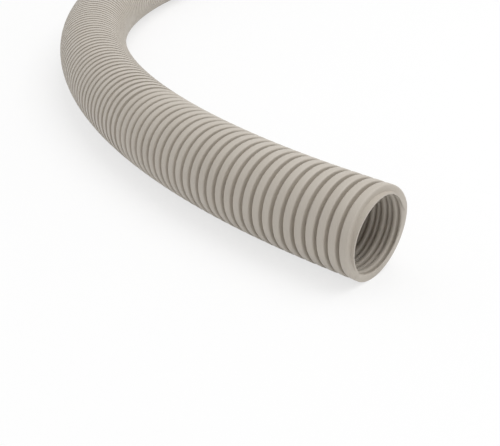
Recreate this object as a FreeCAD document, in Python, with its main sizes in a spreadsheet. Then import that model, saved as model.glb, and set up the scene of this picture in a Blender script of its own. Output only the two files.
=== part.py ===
"""Pliable corrugated conduit: one metre of ring-waved plastic pipe, lying in a quarter bend.

The pipe is one moulded wall. Outside it shows flat crests with bevelled shoulders between narrow
grooves; inside, each groove makes a ridge and each crest a hollow. The waves are separate rings, not
a thread, and stay stiff and straight: the pipe bends in its grooves, which close a little on the
inside of the bend and open on the outside. The near end is cut by hand, at a slant: on one side of
the mouth a groove floor stands out as a plain lip, on the other side the cut runs into the first
wave. The far end is cut square, with a lip all round.

The origin is on the centreline in the middle of the second crest, the first that is whole. The near
mouth faces -Y, the pipe runs along +Y with its centreline in the XY plane, and bends to the right
until its far end faces +X.
"""

import FreeCAD, Part
import math
import os

from FreeCAD import Placement, Rotation, Vector

# Millimetres and degrees: alias, value, meaning.
SIZES = [
    ("outside_diameter", 40.0, "over the crests"),
    ("bore_diameter", 33.0, "clear way inside the ridges"),
    ("wall_thickness", 0.7, "the same in crest, flank and groove"),
    ("wave_pitch", 5.54, "crest to crest, along the centreline"),
    ("groove_width", 1.8, "between the flanks of two waves, along the centreline"),
    ("shoulder", 0.4, "bevel on each side of a crest, both ways"),
    ("near_lip", 0.3, "from the near cut to the first wave, along the centreline"),
    ("near_cut_slant", 6.8, "lean of the near cut"),
    ("near_cut_turn", 53.0, "of the near cut's long side, from the left side up"),
    ("far_lip", 2.2, "plain lip behind the last wave"),
    ("conduit_length", 1000.0, "along the centreline, less what whole waves leave over"),
    ("near_straight", 22.0, "straight stretch behind the near mouth, to the nearest groove"),
    ("bend_radius", 423.0, "of the centreline, to the nearest whole number of grooves"),
    ("bend_angle", 90.0, "between the two straight stretches"),
]

ORIGIN = Vector(0, 0, 0)
UP = Vector(0, 0, 1)
AHEAD = Vector(0, 1, 0)
RIGHT = Vector(1, 0, 0)
STRAIGHT = 1e-6


def make_sheet(doc):
    """The driving dimensions, one alias to each row."""
    sheet = doc.addObject("Spreadsheet::Sheet", "sizes")
    for row, (alias, value, meaning) in enumerate(SIZES, start=1):
        sheet.set(f"A{row}", alias)
        sheet.set(f"B{row}", str(value))
        sheet.set(f"C{row}", meaning)
        sheet.setAlias(f"B{row}", alias)
    doc.recompute()
    return sheet


def ahead(length):
    """A step straight along the pipe."""
    return Placement(AHEAD * length, Rotation())


def across_groove(sheet, turn):
    """The step over a groove floor that turns the pipe to the right by that many degrees."""
    if turn < STRAIGHT:
        return ahead(sheet.groove_width)
    pivot = RIGHT * (sheet.groove_width / math.radians(turn))
    return Placement(ORIGIN, Rotation(UP, -turn), pivot)


def ring(place, radius):
    """A circle round the centreline, square to it, that starts at the top."""
    circle = Part.Circle(ORIGIN, AHEAD, radius).toShape()
    circle.Placement = place
    return circle


def ring_face(place, outer, inner):
    """The flat ring between two circles, square to the pipe."""
    discs = [Part.Face(Part.Wire(ring(place, radius))) for radius in (outer, inner)]
    return discs[0].cut(discs[1]).Faces[0]


def band(start, end):
    """The round face between two rings, each a (place, radius).

    Rings on one axis give a cylinder, a cone or a flat ring. Rings that lean towards each other are
    joined by straight lines.
    """
    (here, radius), (there, end_radius) = start, end
    axis = here.Rotation.multVec(AHEAD)
    if here.Base.isEqual(there.Base, STRAIGHT):
        return ring_face(here, max(radius, end_radius), min(radius, end_radius))
    if math.degrees(axis.getAngle(there.Rotation.multVec(AHEAD))) < STRAIGHT:
        side = Part.makeLine(here.multVec(UP * radius), there.multVec(UP * end_radius))
        return side.revolve(here.Base, axis, 360)
    return Part.makeRuledSurface(ring(here, radius), ring(there, end_radius))


def bands(place, line):
    """The faces along a line of (length from the place, radius) points."""
    rings = [(place.multiply(ahead(length)), radius) for length, radius in line]
    return [band(start, end) for start, end in zip(rings, rings[1:])]


class Section:
    """The wall's lines along one wave, measured from the foot of its rising flank."""

    def __init__(self, sheet):
        self.wall = sheet.wall_thickness
        self.width = sheet.wave_pitch - sheet.groove_width
        self.ridge = sheet.bore_diameter / 2
        self.groove = self.ridge + self.wall
        crest = sheet.outside_diameter / 2
        edge = sheet.shoulder
        self.outside = self.mirrored([(0, self.groove), (0, crest - edge), (edge, crest)])
        self.inside = self.mirrored([(self.wall, self.ridge), (self.wall, crest - self.wall)])

    def mirrored(self, rise):
        """The rising half of a wave and its mirror image."""
        return rise + [(self.width - length, radius) for length, radius in reversed(rise)]


def wave_starts(sheet, section):
    """The place of each wave's foot, from the near end to the far one."""
    room = sheet.conduit_length - sheet.far_lip + sheet.groove_width
    waves = math.floor(room / sheet.wave_pitch + STRAIGHT)
    first_turn = round(sheet.near_straight / sheet.wave_pitch)
    turns = round(sheet.bend_radius * math.radians(sheet.bend_angle) / sheet.wave_pitch)
    starts = [ahead(-sheet.wave_pitch - section.width / 2)]
    for groove in range(1, waves):
        bends = first_turn <= groove < first_turn + turns
        step = across_groove(sheet, sheet.bend_angle / turns if bends else 0)
        starts.append(starts[-1].multiply(ahead(section.width)).multiply(step))
    return starts


def lean_of_cut(sheet):
    """The direction square to the near cut, out of the mouth."""
    lean, turn = math.radians(sheet.near_cut_slant), math.radians(sheet.near_cut_turn)
    short_side = RIGHT * math.cos(turn) - UP * math.sin(turn)
    return short_side * math.sin(lean) - AHEAD * math.cos(lean)


def pipe_shape(sheet):
    """The whole wall as one solid, with a square lip at each end."""
    section = Section(sheet)
    starts = wave_starts(sheet, section)
    leaning = sheet.outside_diameter * math.tan(math.radians(sheet.near_cut_slant))
    near_end = starts[0].multiply(ahead(-sheet.near_lip - leaning))
    far_end = starts[-1].multiply(ahead(section.width + sheet.far_lip))
    faces = [ring_face(place, section.groove, section.ridge) for place in (near_end, far_end)]
    for start in starts:
        faces += bands(start, section.outside) + bands(start, section.inside)
    for radius, margin in ((section.groove, 0), (section.ridge, section.wall)):
        fronts = [start.multiply(ahead(margin)) for start in starts] + [far_end]
        backs = [near_end] + [start.multiply(ahead(section.width - margin)) for start in starts]
        faces += [band((back, radius), (front, radius)) for back, front in zip(backs, fronts)]
    shell = Part.makeShell(faces)
    shell.sewShape()
    solid = Part.makeSolid(shell)
    if solid.Volume < 0:
        solid.reverse()
    return solid


def main():
    doc = FreeCAD.newDocument("corrugated_conduit")
    sheet = make_sheet(doc)
    pipe = doc.addObject("Part::Feature", "pipe")
    pipe.Shape = pipe_shape(sheet)
    pipe.Placement = Placement(ORIGIN, Rotation())
    waste = doc.addObject("Part::Cylinder", "waste")
    waste.setExpression("Radius", "sizes.outside_diameter")
    waste.setExpression("Height", "sizes.outside_diameter")
    first_foot = wave_starts(sheet, Section(sheet))[0]
    cut_middle = first_foot.multVec(-AHEAD * sheet.near_lip)
    waste.Placement = Placement(cut_middle, Rotation(UP, lean_of_cut(sheet)))
    conduit = doc.addObject("Part::Cut", "conduit")
    conduit.Label = "conduit"
    conduit.Base = pipe
    conduit.Tool = waste
    conduit.Placement = Placement(ORIGIN, Rotation())
    doc.recompute()
    for item in doc.Objects:
        if "Invalid" in item.State or "Error" in item.State:
            raise RuntimeError(f"{item.Label} failed: {item.State}")
    shape = conduit.Shape
    if shape.isNull() or not shape.isValid() or len(shape.Solids) != 1:
        raise RuntimeError(f"{conduit.Label} is not one valid solid")
    os.makedirs("parts", exist_ok=True)
    shape.Solids[0].exportStep(f"parts/{conduit.Label}.step")
    print(f"{conduit.Label}: {len(shape.Faces)} faces, {shape.Volume:.0f} mm3")


main()
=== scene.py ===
"""Looks of the pliable corrugated conduit: its rounded wall, its plastic, the light and the camera."""

import bmesh
import bpy
import math
from mathutils import Matrix, Vector


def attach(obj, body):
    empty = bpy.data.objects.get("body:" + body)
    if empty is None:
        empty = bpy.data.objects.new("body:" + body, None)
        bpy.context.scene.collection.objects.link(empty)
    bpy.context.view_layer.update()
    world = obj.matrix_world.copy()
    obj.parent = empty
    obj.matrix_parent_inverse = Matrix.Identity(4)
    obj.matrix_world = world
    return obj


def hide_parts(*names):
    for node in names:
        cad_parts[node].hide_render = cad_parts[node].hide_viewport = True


MM = 0.001

# The wall and its waves, in millimetres and radians. Grooves are counted from the near end.
CREST_RADIUS = 20.0
RIDGE_RADIUS = 16.5
WALL = 0.7
GROOVE_RADIUS = RIDGE_RADIUS + WALL
WAVE = 3.74
GROOVE = 1.8
WAVES = 180
TURNING_GROOVES = range(4, 124)
TURN = math.radians(0.75)
FIRST_FOOT = Vector((0, -7.41, 0))
NEAR_LIP = 0.3
CUT_SLANT = math.radians(6.8)
CUT_TURN = math.radians(53)
FAR_LIP = 2.2

# The corners on the rising half of a wave, each as its length from the foot, its radius, and how far out
# it is rounded. Outside they are the foot and the shoulder; inside, the ridge, the hollow behind it and
# the low ring in the middle of the crest.
OUTER_CORNERS = [(0, GROOVE_RADIUS, 0.25), (0, CREST_RADIUS, 0.75)]
INNER_CORNERS = [(0.05, RIDGE_RADIUS, 0.8), (0.55, 18.4, 0.3), (1.4, 16.95, 0.4)]

# How finely the wall is drawn: steps all the way round and round each corner, and how many waves have
# round corners outside, where the others rise on a short slope. The waves behind each mouth have round
# corners and the low ring inside too, and those further in a plain hollow.
SEGMENTS = 48
ROUNDING_STEPS = 3
FINE_WAVES = 28
COARSE_SLOPE = 0.2
NEAR_BEADS = 9
FAR_BEADS = 4
SHARP_EDGE = math.radians(35)

# The plastic: two shades, two degrees of roughness, and the depth of its pebbles in metres.
SHADES = [(0.505, 0.459, 0.397), (0.535, 0.489, 0.427)]
ROUGHNESS = [(0.42, 0.42, 0.42), (0.58, 0.58, 0.58)]
PEBBLE_DEPTH = 0.0002

# The light and the floor: a lamp in watts and metres, the world's strength as a light, the floor's paper,
# the share of plain white in it where it is seen, and how far it reaches each way, in metres.
LAMP_POWER = 24
LAMP_WIDTH = 1.8
LAMP_DISTANCE = 2
LAMP_DIRECTION = Vector((0.25, -0.2, 0.93))
WORLD_LIGHT = 0.58
PAPER = (0.96, 0.96, 0.96, 1)
FLOOR_WHITE = 0.7
FLOOR_REACH = 6

# The camera: its place in metres, its turn from +Y towards +X, its tilt down, its roll, and its lens in
# millimetres.
EYE = Vector((-0.30911, -0.22280, 0.17409))
HEADING = math.radians(47.567)
TILT = math.radians(24.515)
ROLL = math.radians(0.97)
LENS = 76.9
SENSOR = 36


def ahead(length):
    """A step straight along the conduit."""
    return Matrix.Translation((0, length, 0))


def wave_places():
    """Where each wave's foot stands, from the near end to the far one."""
    pivot = Vector((GROOVE / TURN, 0, 0))
    turning = Matrix.Translation(pivot) @ Matrix.Rotation(-TURN, 4, "Z") @ Matrix.Translation(-pivot)
    places = [Matrix.Translation(FIRST_FOOT)]
    for groove in range(1, WAVES):
        step = turning if groove in TURNING_GROOVES else ahead(GROOVE)
        places.append(places[-1] @ ahead(WAVE) @ step)
    return places


def rounded(corners):
    """The line round these corners, which comes level from the groove and goes on level to the crest."""
    start = (-GROOVE / 2, corners[0][1])
    end = (WAVE / 2, corners[-1][1])
    line = []
    for before, corner, after in zip([start] + corners, corners, corners[1:] + [end]):
        tip = Vector(corner[:2])
        enter = tip + (Vector(before[:2]) - tip).normalized() * corner[2]
        leave = tip + (Vector(after[:2]) - tip).normalized() * corner[2]
        for step in range(ROUNDING_STEPS + 1):
            t = step / ROUNDING_STEPS
            line.append(enter * (1 - t) ** 2 + tip * (2 * t * (1 - t)) + leave * t ** 2)
    return line


def outer_rise(number):
    """The outer line of the rising half of a wave, as (length, radius) points."""
    if number < FINE_WAVES:
        return rounded(OUTER_CORNERS)
    return [(0, GROOVE_RADIUS), (COARSE_SLOPE, CREST_RADIUS)]


def inner_rise(number):
    """The inner line of the rising half of a wave."""
    if number < NEAR_BEADS or number >= WAVES - FAR_BEADS:
        return rounded(INNER_CORNERS)
    return [(WALL, RIDGE_RADIUS), (WALL, CREST_RADIUS - WALL)]


def wave_line(place, rise):
    """The rings of one wave, as (place, radius), from its rising half and the mirror image of that."""
    fall = [(WAVE - length, radius) for length, radius in reversed(rise)]
    return [(place @ ahead(length), radius) for length, radius in rise + fall]


def wall_rings():
    """The rings of the whole wall: along the outside to the far end and back along the inside."""
    places = wave_places()
    near_end = places[0] @ ahead(-NEAR_LIP - 2 * CREST_RADIUS * math.tan(CUT_SLANT))
    far_end = places[-1] @ ahead(WAVE + FAR_LIP)
    outside, inside = [(near_end, GROOVE_RADIUS)], [(near_end, RIDGE_RADIUS)]
    for number, place in enumerate(places):
        outside += wave_line(place, outer_rise(number))
        inside += wave_line(place, inner_rise(number))
    return outside + [(far_end, GROOVE_RADIUS), (far_end, RIDGE_RADIUS)] + inside[::-1]


def cut_slanting(shape):
    """Cut the near end off along the slanting plane before the first wave, and close the wall."""
    middle = (FIRST_FOOT - Vector((0, NEAR_LIP, 0))) * MM
    short_side = Vector((math.cos(CUT_TURN), 0, -math.sin(CUT_TURN)))
    outwards = short_side * math.sin(CUT_SLANT) - Vector((0, math.cos(CUT_SLANT), 0))
    everything = shape.verts[:] + shape.edges[:] + shape.faces[:]
    cut = bmesh.ops.bisect_plane(
        shape, geom=everything, plane_co=middle, plane_no=outwards, clear_outer=True
    )
    rim = [item for item in cut["geom_cut"] if isinstance(item, bmesh.types.BMEdge)]
    bmesh.ops.triangle_fill(shape, use_beauty=True, edges=rim, normal=outwards)


def conduit_mesh():
    """The whole wall as one closed mesh."""
    rings = wall_rings()
    round_points = [
        Vector((math.cos(turn), 0, math.sin(turn)))
        for turn in (2 * math.pi * k / SEGMENTS for k in range(SEGMENTS))
    ]
    vertices = [(place @ (point * radius)) * MM for place, radius in rings for point in round_points]
    faces = []
    for ring in range(len(rings)):
        here, there = ring * SEGMENTS, (ring + 1) % len(rings) * SEGMENTS
        for k in range(SEGMENTS):
            after = (k + 1) % SEGMENTS
            faces.append((here + k, there + k, there + after, here + after))
    mesh = bpy.data.meshes.new("corrugated_wall")
    mesh.from_pydata(vertices, [], faces)
    shape = bmesh.new()
    shape.from_mesh(mesh)
    cut_slanting(shape)
    bmesh.ops.recalc_face_normals(shape, faces=shape.faces)
    shape.to_mesh(mesh)
    shape.free()
    mesh.shade_smooth()
    mesh.set_sharp_from_angle(angle=SHARP_EDGE)
    return mesh


def noise(nodes, links, place, scale, detail):
    """A noise texture over the object's own coordinates, of that many waves to the metre."""
    texture = nodes.new("ShaderNodeTexNoise")
    texture.inputs["Scale"].default_value = scale
    texture.inputs["Detail"].default_value = detail
    links.new(place.outputs["Object"], texture.inputs["Vector"])
    return texture


def ramp(nodes, links, source, colours):
    """Two colours spread over the middle of a noise texture's range."""
    band = nodes.new("ShaderNodeValToRGB")
    for stop, position, colour in zip(band.color_ramp.elements, (0.3, 0.7), colours):
        stop.position = position
        stop.color = (*colour, 1)
    links.new(source.outputs["Fac"], band.inputs["Fac"])
    return band


def plastic():
    """Satin, warm light grey plastic: cloudy colour, uneven gloss and a finely pebbled skin."""
    material = bpy.data.materials.new("conduit_plastic")
    material.use_nodes = True
    nodes, links = material.node_tree.nodes, material.node_tree.links
    shader = nodes["Principled BSDF"]
    shader.inputs["IOR"].default_value = 1.5
    place = nodes.new("ShaderNodeTexCoord")
    clouds = noise(nodes, links, place, scale=70, detail=4)
    tint = ramp(nodes, links, clouds, SHADES)
    links.new(tint.outputs["Color"], shader.inputs["Base Color"])
    smears = noise(nodes, links, place, scale=220, detail=3)
    gloss = ramp(nodes, links, smears, ROUGHNESS)
    links.new(gloss.outputs["Color"], shader.inputs["Roughness"])
    pebbles = noise(nodes, links, place, scale=900, detail=2)
    bump = nodes.new("ShaderNodeBump")
    bump.inputs["Strength"].default_value = 0.15
    bump.inputs["Distance"].default_value = PEBBLE_DEPTH
    links.new(pebbles.outputs["Fac"], bump.inputs["Height"])
    links.new(bump.outputs["Normal"], shader.inputs["Normal"])
    return material


def where_seen(tree, unseen, seen):
    """One value for the light that falls on the object, and another for what is seen, in gloss too."""
    rays = tree.nodes.new("ShaderNodeLightPath")
    value = None
    for ray in ("Is Camera Ray", "Is Glossy Ray", "Is Transmission Ray"):
        term = tree.nodes.new("ShaderNodeMath")
        term.operation = "MULTIPLY_ADD"
        term.inputs[1].default_value = seen - unseen
        term.inputs[2].default_value = unseen
        tree.links.new(rays.outputs[ray], term.inputs[0])
        if value:
            tree.links.new(value, term.inputs[2])
        value = term.outputs["Value"]
    return value


def white_surroundings():
    """A world that is seen as white and lights the object more softly."""
    world = bpy.data.worlds.new("studio")
    bpy.context.scene.world = world
    world.use_nodes = True
    tree = world.node_tree
    background = tree.nodes["Background"]
    background.inputs["Color"].default_value = (1, 1, 1, 1)
    tree.links.new(where_seen(tree, WORLD_LIGHT, 1), background.inputs["Strength"])


def white_paper():
    """White paper that takes the shadow, mixed with plain white where it is seen."""
    white = bpy.data.materials.new("floor_white")
    white.use_nodes = True
    tree = white.node_tree
    paper = tree.nodes["Principled BSDF"]
    paper.inputs["Base Color"].default_value = PAPER
    paper.inputs["Roughness"].default_value = 0.9
    plain = tree.nodes.new("ShaderNodeEmission")
    blend = tree.nodes.new("ShaderNodeMixShader")
    tree.links.new(where_seen(tree, 0, FLOOR_WHITE), blend.inputs[0])
    tree.links.new(paper.outputs["BSDF"], blend.inputs[1])
    tree.links.new(plain.outputs["Emission"], blend.inputs[2])
    tree.links.new(blend.outputs["Shader"], tree.nodes["Material Output"].inputs["Surface"])
    return white


def floor():
    """The sheet of white paper that the conduit lies on."""
    sheet = bpy.data.meshes.new("floor")
    square = [(-1, -1), (1, -1), (1, 1), (-1, 1)]
    corners = [(x * FLOOR_REACH, y * FLOOR_REACH, -CREST_RADIUS * MM) for x, y in square]
    sheet.from_pydata(corners, [], [(0, 1, 2, 3)])
    sheet.materials.append(white_paper())
    thing = bpy.data.objects.new("floor", sheet)
    bpy.context.scene.collection.objects.link(thing)


def lamp():
    """A large soft lamp above the conduit."""
    light = bpy.data.lights.new("lamp_above", "AREA")
    light.size = LAMP_WIDTH
    light.energy = LAMP_POWER
    thing = bpy.data.objects.new("lamp_above", light)
    towards = LAMP_DIRECTION.normalized()
    thing.location = towards * LAMP_DISTANCE
    thing.rotation_euler = towards.to_track_quat("Z", "Y").to_euler()
    bpy.context.scene.collection.objects.link(thing)


def camera():
    """The photograph's view, from above the near mouth's left."""
    lens = bpy.data.cameras.new("camera")
    lens.sensor_width = SENSOR
    lens.lens = LENS
    eye = bpy.data.objects.new("camera", lens)
    level = Vector((math.sin(HEADING), math.cos(HEADING), 0))
    forward = level * math.cos(TILT) - Vector((0, 0, math.sin(TILT)))
    right = forward.cross(Vector((0, 0, 1))).normalized()
    above = right.cross(forward)
    turned = right * math.cos(ROLL) + above * math.sin(ROLL)
    upright = above * math.cos(ROLL) - right * math.sin(ROLL)
    basis = Matrix((turned, upright, -forward)).transposed().to_4x4()
    eye.matrix_world = Matrix.Translation(EYE) @ basis
    bpy.context.scene.collection.objects.link(eye)
    bpy.context.scene.camera = eye


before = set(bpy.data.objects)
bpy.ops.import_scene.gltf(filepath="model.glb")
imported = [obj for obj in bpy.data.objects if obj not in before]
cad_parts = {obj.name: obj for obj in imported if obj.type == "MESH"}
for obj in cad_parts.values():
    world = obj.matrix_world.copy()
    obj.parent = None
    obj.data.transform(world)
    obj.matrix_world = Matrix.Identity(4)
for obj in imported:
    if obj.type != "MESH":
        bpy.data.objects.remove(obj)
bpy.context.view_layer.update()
bpy.context.scene.view_settings.view_transform = "Standard"
conduit = bpy.data.objects.new("corrugated_conduit", conduit_mesh())
bpy.context.scene.collection.objects.link(conduit)
conduit.data.materials.append(plastic())
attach(conduit, "root")
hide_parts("conduit")
white_surroundings()
floor()
lamp()
camera()
bpy.context.view_layer.update()
